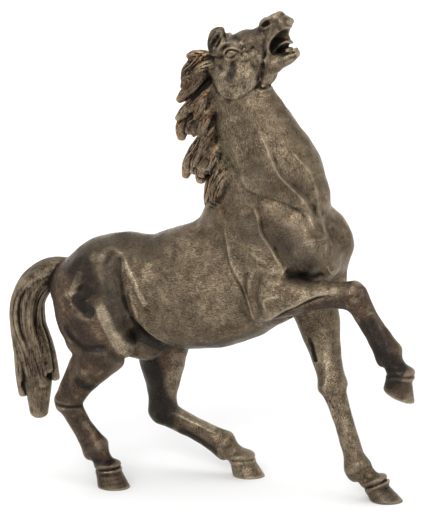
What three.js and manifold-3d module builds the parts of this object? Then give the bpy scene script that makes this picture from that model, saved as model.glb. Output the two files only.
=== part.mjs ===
// A cast figurine of a rearing horse: silvered bronze, one solid, standing on three hooves.
// Millimetres, +Z up, the horse facing +X, its right side towards -Y, the ground at Z = 0.
import * as THREE from 'three';
import { mergeVertices } from 'three/addons/utils/BufferGeometryUtils.js';
import Module from 'manifold-3d';

const wasm = await Module();
wasm.setup();

// Where the middle of the casting's underside lies in the drawing below
const STAND = [-1.05, -1, 1.7];
const GROUND_BLOCK = 400;
const ACROSS = [0, 1, 0];

// How many facets go round a form, and how many rings stand between two listed ones
const TRUNK_SIDES = 16;
const NECK_SIDES = 12;
const HEAD_SIDES = 8;
const LIMB_SIDES = 8;
const MUSCLE_SIDES = 8;
const SMALL_SIDES = 6;
const HOOF_SIDES = 10;
const LOCK_SIDES = 6;
const DOME_ANGLES = [0.75];

// A ring is x, y, z, half depth, half width, and how much wider it is on its upper half
const TRUNK = [
  [-78, 0, 99, 15, 14, 0],
  [-68, 0, 99.5, 24, 20, 0],
  [-57, 0, 100, 28, 22, 0],
  [-44, 0, 100.5, 29.3, 22, -0.03],
  [-31, 0, 100.5, 28.7, 21.5, -0.06],
  [-18, 0, 103, 31, 23, -0.08],
  [-6, 0, 105.5, 32.5, 24, -0.1],
  [7, 0, 109.5, 32, 23.5, -0.1],
  [20, 0, 115, 30.5, 22.5, -0.05],
  [33, 0, 119, 27.5, 22, 0],
  [45, 0, 123, 22, 20.5, 0],
  [54, 0, 126, 14, 15, 0],
];
const NECK = [
  [21, 0, 128, 32, 21, -0.1],
  [28.5, 0, 146, 31, 20.5, -0.15],
  [29.8, 0, 162, 27.4, 17.5, -0.15],
  [24.6, 0, 176, 23.4, 14.5, -0.1],
  [19, 0, 189, 20, 12, -0.05],
  [13.5, 0, 201, 17, 10.5, 0],
  [9, 0, 212, 13.5, 9.5, 0],
];
const SKULL = [
  [2, 0, 215.5, 8.5, 8, 0],
  [9, 0, 221, 10, 9.5, 0.1],
  [16.5, 0, 226.5, 9, 8.6, 0.15],
  [23.4, 0, 229.6, 8, 6.6, 0.1],
  [28.7, 0, 233.8, 7.4, 6.2, 0],
  [33, 0, 237.5, 6.6, 5.6, 0],
  [36.2, 0, 240.4, 3.8, 4.4, 0],
];
const JAW = [
  [13, 0, 213, 8.5, 7, 0],
  [22, 0, 217, 7, 6, 0],
  [28.5, 0, 220, 5.2, 5, 0],
  [34, 0, 222, 3, 4.2, 0],
  [38.5, 0, 223.3, 3.3, 4.4, 0],
  [43, 0, 225, 2.2, 4, 0],
];
const TONGUE = [
  [28, 0, 224, 1.8, 3.2, 0],
  [33.5, 0, 227.6, 1.5, 3.2, 0],
  [37.6, 0, 230.2, 1, 2.6, 0],
  [39.6, 0, 229.9, 0.7, 1.8, 0],
];
const THIGHS = [
  [
    [-62, -7, 107, 21.5, 13, 0],
    [-61.5, -11, 96, 22, 13, 0],
    [-60, -15, 85, 19.5, 11.5, 0],
    [-54.5, -18.5, 73, 15, 9.5, 0],
  ],
  [
    [-60, 8, 106, 21.5, 13, 0],
    [-53, 12, 95, 21, 13, 0],
    [-44, 16, 82, 17.5, 11.5, 0],
    [-38, 18.5, 70, 14.5, 9.8, 0],
  ],
];

// Muscles and bulges: middle, half sizes along, across and square to both, and the way they run
const MUSCLES = [
  { at: [32, -15, 126], half: [29, 8, 13], along: [22, 0, -28] },
  { at: [32, 15, 126], half: [29, 8, 13], along: [22, 0, -28] },
  { at: [36, -20, 109], half: [18, 7.5, 12], along: [-14, 0, -12] },
  { at: [49.5, 17, 112], half: [22, 8.5, 14], along: [1, 0, -15] },
  { at: [47.8, -11.5, 131.5], half: [18, 11.5, 15], along: [4, 0, 13] },
  { at: [52.3, 12, 129.5], half: [18, 12.5, 16], along: [3, 0, -14] },
  { at: [1, 0, 132], half: [18, 9, 8.5], along: [12, 0, 7] },
  { at: [-44.5, -20, 79], half: [12, 6, 8], along: [5, 0, -9] },
  { at: [-27, 17, 76], half: [12, 7, 9], along: [3, 0, -9] },
  { at: [-34.5, -18, 103], half: [17, 4, 3.6], along: [5, 0, 16] },
  { at: [-72, 0, 110], half: [12, 7.5, 7], along: [-10, 0, -6] },
  { at: [-36, -3, 70], half: [9, 7, 6], along: [8, 0, 2] },
  { at: [-47, -3, 71.5], half: [6.5, 8, 6.5], along: [8, 0, 2] },
];

// Bulges of both sides of the head: cheek, eye, nostril, muzzle, lip and throat
const CHEEK = { at: [12, 6, 212], half: [12.2, 4.2, 11], along: [8, 0, 5] };
const FACE = [
  { at: [10.5, 7, 226.4], half: [4.4, 3, 3.2], along: [8, 0, 5] },
  { at: [27, 4.6, 240], half: [3.6, 2.4, 2.6], along: [4, 0, 4] },
  { at: [31.8, 3.2, 243], half: [2.6, 2.6, 2.3], along: [4, 0, 2] },
  { at: [39, 1.6, 240.6], half: [2, 2.4, 1.8], along: [4, 0, 1] },
  { at: [27.5, 3.2, 212.6], half: [5, 3, 2.8], along: [5, 0, 8] },
];
const EARS = [
  [
    [3.2, -7.5, 226, 4.4, 3.2, 0],
    [1.9, -9, 230.5, 5, 3.2, 0],
    [3.2, -9.4, 233.8, 4.4, 2.5, 0],
    [6.4, -9.2, 236, 2.1, 1.5, 0],
    [8.6, -9, 236.6, 0.9, 0.9, 0],
  ],
  [
    [3.5, 5.5, 226, 3.2, 2.4, 0],
    [3, 7.5, 229.5, 3, 2.2, 0],
    [4.5, 8, 231.8, 1.2, 1, 0],
  ],
];

// A limb's bones, each as [share of the way down, half depth, half width]
const FOREARM = [[0, 12.5, 9.5], [0.3, 10.5, 8.2], [0.6, 7.8, 6.6], [0.86, 7, 6.4], [1, 8, 6.9]];
const GASKIN = [[0, 13.5, 9.5], [0.35, 9.6, 8], [0.65, 6.4, 6.2], [0.88, 6.1, 5.2], [1, 7.3, 5.6]];
const FAR_GASKIN = [[0, 14.5, 9.5], [0.35, 11.6, 8.6], [0.62, 9, 6.8], [0.82, 7.8, 5.8], [1, 8, 6]];
const CANNON = [[0, 7.4, 6.4], [0.16, 6.2, 5.2], [0.5, 5.8, 4.7], [0.8, 6.2, 5], [1, 7.6, 6]];
const SLIM_CANNON = [[0, 7.4, 6.4], [0.16, 5.6, 5.2], [0.5, 5, 4.6], [0.8, 5.2, 4.8], [1, 7.2, 6]];
const PASTERN = [[0, 7.2, 6], [0.5, 5, 4.8], [1, 5.4, 5.2]];
const LIMBS = [
  {
    bones: [FOREARM, CANNON, PASTERN],
    joints: [[37, -21, 108.5], [79.4, -22, 111.8], [97, -22, 85], [103, -22, 74.5]],
    sole: [102.2, -22, 64.4], toe: [0.92, 0, -0.4], lean: -0.36,
  },
  {
    bones: [FOREARM, SLIM_CANNON, PASTERN],
    joints: [[46, 18, 96], [58.7, 10, 57], [73.8, 4.5, 17.4], [83.4, 4, 9.6]],
    sole: [89, 4, 1.7], toe: [1, 0, 0], lean: -0.42,
  },
  {
    bones: [GASKIN, CANNON, PASTERN],
    joints: [[-54, -19.5, 72], [-71.4, -22, 43.2], [-57.4, -21.5, 22], [-50.6, -21, 11]],
    sole: [-47.8, -21, 1.7], toe: [1, 0, 0], lean: -0.14,
    hockPoint: [-75, -22, 44.6],
  },
  {
    bones: [FAR_GASKIN, CANNON, PASTERN],
    joints: [[-36.5, 19, 68], [-36.5, 20, 31.5], [-3, 20.5, 16.9], [6.6, 21, 10]],
    sole: [10, 21, 1.7], toe: [1, 0, 0], lean: -0.05,
    hockPoint: [-40, 20, 30.5],
  },
];
const HOOF_SOLE = [8.8, 7.8];
const HOOF_TOP = [6.9, 6.6];
const HOOF_HEEL = 0.9;
const CORONET = [7.5, 7.1, 3];
const CORONET_RISE = 1.9;
const ERGOT = [4.4, 3.3, 2.8];
const ERGOT_BEHIND = 5;
const ERGOT_BELOW = 1.2;
const HOCK_POINT = [5.8, 3.8, 4.4];

// Locks of hair: where the root is, length, heading at root and tip in degrees, bow, half width, lean in Y
const CREST_TOP = [-3.5, 221];
const CREST_BEND = [-2.5, 192];
const CREST_FOOT = [5.5, 165];
const MANE_BED = [
  [-6, 0, 218, 4, 4.5, 0],
  [-8, 0, 206, 6.5, 5.5, 0],
  [-7, 0, 194, 6, 5.5, 0],
  [-3, -1, 184, 4.5, 5, 0],
  [-1, -2, 174, 5.5, 5.5, 0],
  [3, -2, 165, 4, 5, 0],
];
const NEAR_MANE = [
  { at: 0, long: 12, from: 160, to: 202, bow: 0, half: 3, lean: -0.1 },
  { at: 0.03, long: 18, from: 172, to: 242, bow: 10, half: 4.8, lean: -0.12 },
  { at: 0.1, long: 16, from: 190, to: 238, bow: 0, half: 4.2, lean: -0.25 },
  { at: 0.14, long: 22.5, from: 215, to: 222, bow: 0, half: 4.2, lean: -0.02 },
  { at: 0.22, long: 24.5, from: 232, to: 222, bow: 0, half: 3.8, lean: -0.14 },
  { at: 0.3, long: 29, from: 254, to: 276, bow: -45, half: 5.4, lean: -0.06 },
  { at: 0.36, long: 20, from: 262, to: 246, bow: -30, half: 4.6, lean: -0.16 },
  { at: 0.42, long: 16, from: 264, to: 238, bow: -25, half: 4.2, lean: -0.22 },
  { at: 0.58, long: 32, from: 239, to: 256, bow: -14, half: 4.8, lean: 0 },
  { at: 0.62, long: 25, from: 250, to: 246, bow: -10, half: 4.6, lean: -0.08 },
  { at: 0.66, long: 25, from: 272, to: 262, bow: -24, half: 5.6, lean: -0.14 },
  { at: 0.7, long: 20, from: 292, to: 258, bow: -40, half: 4.8, lean: -0.24 },
  { at: 0.88, long: 29, from: 236, to: 270, bow: 0, half: 4.4, lean: 0 },
  { at: 0.94, long: 24, from: 256, to: 266, bow: -14, half: 4.8, lean: -0.12 },
  { at: 1, long: 18, from: 276, to: 270, bow: -30, half: 4.2, lean: -0.26 },
];
const FAR_MANE = { count: 5, long: 21, from: 262, to: 275, half: 4.6, lean: 0.5, wave: 16 };

// The tail's middle line and its spread to both sides, and its locks: how far across they lie at root and
// tip (-1 outer, 1 inner), how far aside, and how far along the line they end
const TAIL_LINE = [
  [-77, 109.5], [-88, 107], [-97.5, 99.5], [-102.6, 89.5],
  [-103.3, 77], [-100.2, 64], [-97.9, 48], [-97.4, 29],
];
const TAIL_SPREAD = [3, 5, 7, 7.2, 7.2, 8, 10, 9];
const TAIL_THICKNESS = 0.9;
const TAIL_STEPS = [0, 0.2, 0.4, 0.6, 0.8, 0.93, 1];
const TAIL = [
  { across: 0.05, tip: 0, aside: 0, end: 0.96, half: 6.6 },
  { across: -0.6, tip: -0.9, aside: -0.05, end: 0.92, half: 3.8 },
  { across: -0.45, tip: 0.05, aside: -0.55, end: 0.985, half: 4.2 },
  { across: -0.1, tip: 0.4, aside: -0.72, end: 0.92, half: 4 },
  { across: 0.35, tip: 0.85, aside: -0.5, end: 0.81, half: 4.2 },
  { across: 0.6, tip: 1, aside: 0.1, end: 0.85, half: 3.8 },
  { across: -0.4, tip: -0.3, aside: 0.55, end: 0.9, half: 4.6 },
  { across: 0.25, tip: 0.15, aside: 0.65, end: 0.93, half: 4.8 },
];
const LOCK_PROFILE = [[0, 0.75], [0.35, 1], [0.75, 0.87], [1, 0.42]];

const vector = (p) => new THREE.Vector3(...p);

// A closed solid from rows of points, each row a ring, with a point at both ends
function skin(rows, firstTip, lastTip) {
  const sides = rows[0].length;
  const points = [firstTip, ...rows.flat(), lastTip];
  const faces = [];
  const at = (row, side) => 1 + row * sides + (side % sides);
  for (let side = 0; side < sides; side++) {
    faces.push(0, at(0, side + 1), at(0, side));
    faces.push(points.length - 1, at(rows.length - 1, side), at(rows.length - 1, side + 1));
    for (let row = 0; row + 1 < rows.length; row++) {
      faces.push(at(row, side), at(row, side + 1), at(row + 1, side));
      faces.push(at(row, side + 1), at(row + 1, side + 1), at(row + 1, side));
    }
  }
  const geometry = new THREE.BufferGeometry().setFromPoints(points);
  geometry.setIndex(faces);
  return geometry;
}

function solidOf(geometry) {
  geometry.deleteAttribute('normal');
  geometry.deleteAttribute('uv');
  const merged = mergeVertices(geometry);
  return new wasm.Manifold(new wasm.Mesh({
    numProp: 3,
    vertProperties: merged.attributes.position.array,
    triVerts: new Uint32Array(merged.index.array),
  }));
}

// A rounded solid through rings that stand square to the line of their middles, with domed ends
function loft(rings, sides, across = ACROSS) {
  const middles = rings.map((ring) => vector(ring));
  const rows = [];
  const addRow = (middle, along, deep, wide, egg) => {
    const side = vector(across).addScaledVector(along, -vector(across).dot(along)).normalize();
    const up = new THREE.Vector3().crossVectors(along, side);
    rows.push(Array.from({ length: sides }, (_, k) => {
      const angle = (2 * Math.PI * k) / sides;
      const out = wide * Math.cos(angle) * (1 + egg * Math.sin(angle));
      return middle.clone().addScaledVector(side, out).addScaledVector(up, deep * Math.sin(angle));
    }));
  };
  const tips = [];
  const dome = (ring, middle, along, angles) => {
    const reach = 0.8 * Math.min(ring[3], ring[4]);
    for (const angle of angles) {
      const shrink = Math.cos(angle);
      addRow(middle.clone().addScaledVector(along.outward, reach * Math.sin(angle)), along.forward,
        ring[3] * shrink, ring[4] * shrink, ring[5]);
    }
    tips.push(middle.clone().addScaledVector(along.outward, reach));
  };
  const last = rings.length - 1;
  rings.forEach((ring, i) => {
    const forward = middles[Math.min(i + 1, last)].clone().sub(middles[Math.max(i - 1, 0)]).normalize();
    const outward = forward.clone().negate();
    if (i === 0) dome(ring, middles[i], { forward, outward }, [...DOME_ANGLES].reverse());
    addRow(middles[i], forward, ring[3], ring[4], ring[5]);
    if (i === last) dome(ring, middles[i], { forward, outward: forward }, DOME_ANGLES);
  });
  return solidOf(skin(rows, tips[0], tips[1]));
}

function muscle({ at, half, along }, sides = MUSCLE_SIDES) {
  const geometry = new THREE.SphereGeometry(1, sides, Math.round(sides * 0.6));
  const forward = vector(along).normalize();
  const side = vector(ACROSS).addScaledVector(forward, -forward.y).normalize();
  const up = new THREE.Vector3().crossVectors(forward, side);
  const place = new THREE.Matrix4().makeBasis(
    forward.multiplyScalar(half[0]), side.multiplyScalar(half[1]), up.multiplyScalar(half[2]));
  geometry.applyMatrix4(place.setPosition(...at));
  return solidOf(geometry);
}

// A hoof: a round-toed sole and walls that lean in, up to the band where the hair begins
function hoof({ joints, sole, toe, lean }) {
  const top = vector(joints[joints.length - 1]);
  const bottom = vector(sole);
  const forward = vector(toe);
  const side = vector(ACROSS);
  const down = new THREE.Vector3().crossVectors(forward, side).negate();
  const outline = (middle, length, width, tilt) => Array.from({ length: HOOF_SIDES }, (_, k) => {
    const angle = (2 * Math.PI * k) / HOOF_SIDES;
    const ahead = Math.cos(angle);
    const blunt = ahead < 0 ? HOOF_HEEL : 1;
    return middle.clone().addScaledVector(forward, length * ahead * blunt)
      .addScaledVector(side, -width * Math.sin(angle))
      .addScaledVector(down, tilt * length * ahead);
  });
  const start = top.clone().addScaledVector(down, 1);
  const rows = [
    outline(start, 1.04 * HOOF_TOP[0], 1.04 * HOOF_TOP[1], lean),
    outline(bottom, HOOF_SOLE[0], HOOF_SOLE[1], 0),
  ];
  return solidOf(skin(rows, top.clone().addScaledVector(down, -2), bottom));
}

// A limb: one rounded solid a bone, a hoof under its coronet, the ergot behind the fetlock, and the
// point of the hock
function limb(shape) {
  const solids = shape.bones.map((bone, b) => {
    const [start, end] = [vector(shape.joints[b]), vector(shape.joints[b + 1])];
    const rings = bone.map(([t, deep, wide]) => [...start.clone().lerp(end, t).toArray(), deep, wide, 0]);
    return loft(rings, LIMB_SIDES);
  });
  const bulge = (at, half, along) => {
    solids.push(muscle({ at: at.toArray(), half, along: along.toArray() }, SMALL_SIDES));
  };
  const [, , fetlock, top] = shape.joints.map(vector);
  const down = top.clone().sub(fetlock).normalize();
  const back = new THREE.Vector3().crossVectors(vector(ACROSS), down).normalize();
  bulge(fetlock.addScaledVector(back, ERGOT_BEHIND).addScaledVector(down, ERGOT_BELOW), ERGOT,
    down.clone().addScaledVector(back, 0.35));
  const up = new THREE.Vector3().crossVectors(vector(shape.toe), vector(ACROSS)).normalize();
  const forward = vector(shape.toe).addScaledVector(up, -shape.lean).normalize();
  const rise = new THREE.Vector3().crossVectors(forward, vector(ACROSS));
  solids.push(hoof(shape));
  const band = top.addScaledVector(rise, CORONET_RISE).toArray();
  solids.push(muscle({ at: band, half: CORONET, along: forward.toArray() }, LIMB_SIDES));
  if (shape.hockPoint) bulge(vector(shape.hockPoint), HOCK_POINT, new THREE.Vector3(-1, 0, 8));
  return solids;
}

// A lock of hair whose heading turns evenly from root to tip, with a bow added halfway
function lock({ root, long, from, to, bow, half, lean }, flat = 0.72) {
  const point = vector(root);
  const rings = [];
  let done = 0;
  for (const [t, share] of LOCK_PROFILE) {
    const pieces = 6;
    for (let piece = 0; piece < pieces && t > 0; piece++) {
      const middle = done + ((t - done) * (piece + 0.5)) / pieces;
      const turned = from + (to - from) * middle + bow * Math.sin(Math.PI * middle);
      const heading = THREE.MathUtils.degToRad(turned);
      const run = ((t - done) * long) / pieces;
      point.add(new THREE.Vector3(Math.cos(heading), lean, Math.sin(heading)).multiplyScalar(run));
    }
    done = t;
    rings.push([...point.toArray(), half * share, half * share * flat, 0]);
  }
  return loft(rings, LOCK_SIDES);
}

function crest(t) {
  const curve = new THREE.QuadraticBezierCurve3(
    new THREE.Vector3(CREST_TOP[0], 0, CREST_TOP[1]),
    new THREE.Vector3(2 * CREST_BEND[0] - (CREST_TOP[0] + CREST_FOOT[0]) / 2, 0,
      2 * CREST_BEND[1] - (CREST_TOP[1] + CREST_FOOT[1]) / 2),
    new THREE.Vector3(CREST_FOOT[0], 0, CREST_FOOT[1]));
  return curve.getPoint(t).toArray();
}

function mane() {
  const near = NEAR_MANE.map((shape) => {
    const [x, , z] = crest(shape.at);
    return lock({ ...shape, root: [x + 2, 12 * shape.lean, z] });
  });
  const far = Array.from({ length: FAR_MANE.count }, (_, k) => {
    const t = (k + 0.5) / FAR_MANE.count;
    const [x, , z] = crest(t);
    const sway = FAR_MANE.wave * (k % 2 ? 1 : -1);
    return lock({ ...FAR_MANE, root: [x + 4, 4.5, z], from: FAR_MANE.from + sway, bow: -sway });
  });
  return [...near, ...far];
}

// A lock of the tail keeps its place in the tail's spread while it follows the middle line
function tailLock({ across, tip, aside, end, half }) {
  const line = new THREE.CatmullRomCurve3(TAIL_LINE.map(([x, z]) => new THREE.Vector3(x, 0, z)));
  const rings = TAIL_STEPS.map((step) => {
    const t = step * end;
    const middle = line.getPoint(t);
    const outer = new THREE.Vector3().crossVectors(line.getTangent(t), vector(ACROSS)).negate();
    const place = t * (TAIL_SPREAD.length - 1);
    const before = Math.min(Math.floor(place), TAIL_SPREAD.length - 2);
    const spread = THREE.MathUtils.lerp(TAIL_SPREAD[before], TAIL_SPREAD[before + 1], place - before);
    middle.addScaledVector(outer, -spread * THREE.MathUtils.lerp(across, tip, step * step * (3 - 2 * step)));
    middle.y += spread * TAIL_THICKNESS * aside;
    const share = Math.min(1, 0.55 + 2.2 * step) * Math.min(1, 0.62 + 2.6 * (1 - step));
    return [...middle.toArray(), half * share, half * share * 0.9, 0];
  });
  return loft(rings, LOCK_SIDES);
}

function bothSides(shape) {
  const [x, y, z] = shape.at;
  return [{ ...shape, at: [x, -y, z] }, shape];
}

function horseSolid() {
  const solids = [
    loft(TRUNK, TRUNK_SIDES),
    loft(NECK, NECK_SIDES),
    loft(SKULL, HEAD_SIDES),
    loft(JAW, HEAD_SIDES),
    loft(TONGUE, SMALL_SIDES),
    ...THIGHS.map((rings) => loft(rings, NECK_SIDES)),
    ...MUSCLES.map((shape) => muscle(shape)),
    ...bothSides(CHEEK).map((shape) => muscle(shape, HEAD_SIDES)),
    ...FACE.flatMap(bothSides).map((shape) => muscle(shape, SMALL_SIDES)),
    ...EARS.map((rings) => loft(rings, LOCK_SIDES)),
    ...LIMBS.flatMap(limb),
    loft(MANE_BED, LOCK_SIDES),
    ...mane(),
    ...TAIL.map(tailLock),
  ];
  const ground = new THREE.BoxGeometry(GROUND_BLOCK, GROUND_BLOCK, 60).translate(0, 0, STAND[2] - 30);
  return solids.reduce((whole, solid) => whole.add(solid)).subtract(solidOf(ground));
}

function horseGeometry() {
  const { vertProperties, triVerts, numProp } = horseSolid().getMesh();
  const geometry = new THREE.BufferGeometry();
  const places = new Float32Array((vertProperties.length / numProp) * 3);
  for (let i = 0; i < places.length / 3; i++) {
    for (let k = 0; k < 3; k++) places[3 * i + k] = vertProperties[numProp * i + k];
  }
  geometry.setAttribute('position', new THREE.BufferAttribute(places, 3));
  geometry.setIndex(new THREE.BufferAttribute(triVerts, 1));
  geometry.computeVertexNormals();
  return geometry;
}

const bronze = new THREE.MeshStandardMaterial({
  color: 0x6e6252,
  roughness: 0.42,
  metalness: 0.9,
  flatShading: true,
});
const horse = new THREE.Mesh(horseGeometry(), bronze);
horse.name = 'horse';
horse.position.set(-STAND[0], -STAND[1], -STAND[2]);

const figurine = new THREE.Group();
figurine.add(horse);

export default figurine;
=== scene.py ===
import math

import bpy
import numpy as np
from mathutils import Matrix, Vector


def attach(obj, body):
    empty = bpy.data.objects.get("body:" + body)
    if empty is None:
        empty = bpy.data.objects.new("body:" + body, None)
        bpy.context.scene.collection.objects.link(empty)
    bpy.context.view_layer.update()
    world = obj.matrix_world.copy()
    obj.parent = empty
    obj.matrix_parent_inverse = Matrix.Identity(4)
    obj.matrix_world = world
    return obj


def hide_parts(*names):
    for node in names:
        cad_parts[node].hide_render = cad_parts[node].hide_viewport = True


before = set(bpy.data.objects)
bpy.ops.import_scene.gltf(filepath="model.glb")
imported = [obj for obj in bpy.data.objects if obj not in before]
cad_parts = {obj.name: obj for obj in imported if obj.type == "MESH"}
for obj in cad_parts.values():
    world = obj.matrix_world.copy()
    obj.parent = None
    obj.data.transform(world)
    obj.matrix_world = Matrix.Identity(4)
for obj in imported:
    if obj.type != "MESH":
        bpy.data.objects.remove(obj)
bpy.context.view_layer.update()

# Where the middle of the casting's underside lies in the drawing
STAND = (-1.05, -1, 1.7)
DRAWING_LOW = (-119, -36, -3)
DRAWING_HIGH = (117, 36, 251)
ROUGH_STEP = 1.6
MIDDLE_STEP = 0.8
FINE_STEP = 0.4
MOST_TRIANGLES = 194000
ACROSS = np.array([0.0, 1.0, 0.0])
FAR_AWAY = 12.0

# How often the clay is softened before each kind of crevice is read off it. The fine crevices give the
# black patina in the hollows; the wide ones give painted shade that darkens the broad hollows
CREVICES = (("fine_crevice", 2), ("wide_crevice_shade", 8))

# Dents, as how far apart and how deep they are. From a height on, over some way, the head has deeper ones
DENTS = ((5, 0.5), (2.4, 0.35))
HEAD_DENTS = ((1.6, 0.6),)
HEAD_EXTRA = {"from": 200, "over": 12, "more": 0.8}

# A ring is x, y, z, half depth, half width and, where it isn't nothing, how much wider its upper half is
TRUNK = [
    (-78, 0, 99, 15, 14, 0),
    (-68, 0, 99.5, 24, 20, 0),
    (-57, 0, 100, 28, 22, 0),
    (-44, 0, 100.5, 29.3, 22, -0.03),
    (-31, 0, 100.5, 28.7, 21.5, -0.06),
    (-18, 0, 103, 31, 23, -0.08),
    (-6, 0, 105.5, 32.5, 24, -0.1),
    (7, 0, 109.5, 32, 23.5, -0.1),
    (20, 0, 115, 30.5, 22.5, -0.05),
    (33, 0, 119, 27.5, 22, 0),
    (45, 0, 123, 22, 20.5, 0),
    (54, 0, 126, 14, 15, 0),
]
NECK = [
    (21, 0, 128, 32, 21, -0.1),
    (28.5, 0, 146, 31, 20.5, -0.15),
    (29.8, 0, 162, 27.4, 17.5, -0.15),
    (24.6, 0, 176, 23.4, 14.5, -0.1),
    (19, 0, 189, 20, 12, -0.05),
    (13.5, 0, 201, 17, 10.5, 0),
    (9, 0, 212, 13.5, 9.5, 0),
]
SKULL = [
    (2, 0, 215.5, 8.5, 8, 0),
    (9, 0, 221, 10, 9.5, 0.1),
    (16.5, 0, 226.5, 9, 8.6, 0.15),
    (23.4, 0, 229.6, 8, 6.6, 0.1),
    (28.7, 0, 233.8, 7.4, 6.2, 0),
    (33, 0, 237.5, 6.6, 5.6, 0),
    (36.2, 0, 240.4, 3.8, 4.4, 0),
]
JAW = [
    (13, 0, 213, 8.5, 7),
    (22, 0, 217, 7, 6),
    (28.5, 0, 219.8, 5.6, 5),
    (33.4, 0, 221.8, 3.8, 4.4),
    (38, 0, 223.7, 3.9, 4.4),
    (41.8, 0, 225.5, 2.5, 3.8),
]
TONGUE = [
    (29.5, 0, 225, 1.7, 3.2),
    (33.6, -0.4, 229, 1.4, 3.4),
    (37.2, -0.4, 231.2, 1, 3),
    (39.6, -0.4, 230.6, 0.6, 2),
]
THIGHS = [
    [
        (-62, -7, 107, 21.5, 13),
        (-61.5, -11, 96, 22, 13),
        (-60, -15, 85, 19.5, 11.5),
        (-54.5, -18.5, 73, 15, 9.5),
    ],
    [
        (-60, 8, 106, 21.5, 13),
        (-53, 12, 95, 21, 13),
        (-44, 16, 82, 17.5, 11.5),
        (-38, 18.5, 70, 14.5, 9.8),
    ],
]

# Muscles and bulges: middle, half sizes along, across and square to both, and the way they run
MUSCLES = [
    ((32, -15, 126), (29, 8, 13), (22, 0, -28)),
    ((32, 15, 126), (29, 8, 13), (22, 0, -28)),
    ((36, -20, 109), (18, 7.5, 12), (-14, 0, -12)),
    ((49.5, 17, 112), (22, 8.5, 14), (1, 0, -15)),
    ((47.8, -11.5, 131.5), (18, 11.5, 15), (4, 0, 13)),
    ((52.3, 12, 129.5), (18, 12.5, 16), (3, 0, -14)),
    ((1, 0, 132), (18, 9, 8.5), (12, 0, 7)),
    ((-44.5, -20, 79), (12, 6, 8), (5, 0, -9)),
    ((-27, 17, 76), (12, 7, 9), (3, 0, -9)),
    ((-34.5, -18, 103), (17, 4, 3.6), (5, 0, 16)),
    ((-72, 0, 110), (12, 7.5, 7), (-10, 0, -6)),
    ((-36, -3, 70), (9, 7, 6), (8, 0, 2)),
    ((-47, -3, 71.5), (6.5, 8, 6.5), (8, 0, 2)),
]
# Bulges of both sides of the head: middle, half sizes, the way they run, and the seam; then its hollows
CHEEKS = [((12, 6, 212), (12.2, 4.2, 11), (8, 0, 5), 0.8)]
EYEBALLS = [((10.9, 8.6, 225), (1.5, 1.5, 1.5), (1, 0, 0), 0.3)]
HEAD_BULGES = [
    ((10.5, 7, 226.4), (4.4, 3, 3.2), (8, 0, 5), 2),
    ((27, 4.6, 240), (3.6, 2.4, 2.6), (4, 0, 4), 1.5),
    ((31.8, 3.2, 243), (2.6, 2.6, 2.3), (4, 0, 2), 0.9),
    ((35.2, 3.4, 240.4), (2.2, 2.2, 3.4), (4, 0, 2), 1.2),
    ((37.8, 1.6, 240.7), (2, 2.4, 1.8), (4, 0, 1), 0.8),
    ((37.6, 2.4, 238.4), (1.1, 1.6, 1), (4, 0, 1), 0.5),
    ((38, 2, 227), (1.4, 1.8, 1.3), (4, 0, 1), 0.5),
    ((41, 1.6, 227.2), (1.1, 1.6, 0.9), (4, 0, 1), 0.5),
    ((26, 5.4, 221.6), (2, 1.6, 1.2), (4, 0, 3), 1),
    ((38, 1.6, 222.6), (3, 2.8, 2), (5, 0, 1), 1),
    ((22.4, 5, 221.8), (4.6, 1.8, 3), (4, 0, 1), 1.5),
    ((27.5, 3.2, 212.6), (5, 3, 2.8), (5, 0, 8), 1.5),
    ((26.3, 5.4, 209.3), (1, 1, 1), (5, 0, 3), 0.6),
]
HEAD_HOLLOWS = [
    ((28.2, 7.2, 240.2), (3.4, 2.2, 1.2), (5, 0, 4), 0.6),
    ((4.2, 12.6, 231.2), (3.6, 2.4, 2.6), (1, 0, 3), 0.6),
    ((10, 9, 236), (1.6, 4, 1.2), (3, 0, 2), 0.3),
]
MOUTH = [
    (30.4, -5, 225.6, 1.1, 4),
    (32.8, -5, 228.8, 2.8, 5.3),
    (36, -5, 232.4, 3.8, 5.6),
    (40, -5, 235, 3.3, 6),
    (45, -5, 236.4, 3, 6),
]
MOUTH_WEB = ((33.6, 2.6, 229.4), (5.2, 2.4, 3.4), (3, 0, 4))
EARS = [
    [
        (3.6, -7.5, 225.5, 4.4, 3.2),
        (3.2, -9, 229.5, 4.4, 3.2),
        (4.6, -9.4, 233.6, 4.5, 2.6),
        (5.9, -9.2, 236, 3, 1.8),
        (6.6, -9, 237, 1.4, 1),
    ],
    [
        (3.5, 5.5, 226, 3.2, 2.4),
        (3, 7.5, 229.5, 3, 2.2),
        (4.5, 8, 231.8, 1.2, 1),
    ],
]

# A limb's bones, each as (share of the way down, half depth, half width)
FOREARM = [(0, 12.5, 9.5), (0.3, 10.5, 8.2), (0.6, 7.8, 6.6), (0.86, 7, 6.4), (1, 8, 6.9)]
GASKIN = [(0, 13.5, 9.5), (0.35, 9.6, 8), (0.65, 6.4, 6.2), (0.88, 6.1, 5.2), (1, 7.3, 5.6)]
FAR_GASKIN = [(0, 14.5, 9.5), (0.35, 11.6, 8.6), (0.62, 9, 6.8), (0.82, 7.8, 5.8), (1, 8, 6)]
CANNON = [(0, 7.4, 6.4), (0.16, 6.2, 5.2), (0.5, 5.8, 4.7), (0.8, 6.2, 5), (1, 7.6, 6)]
SLIM_CANNON = [(0, 7.4, 6.4), (0.16, 5.6, 5.2), (0.5, 5, 4.6), (0.8, 5.2, 4.8), (1, 7.2, 6)]
PASTERN = [(0, 7.2, 6), (0.5, 5, 4.8), (1, 5.4, 5.2)]
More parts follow.
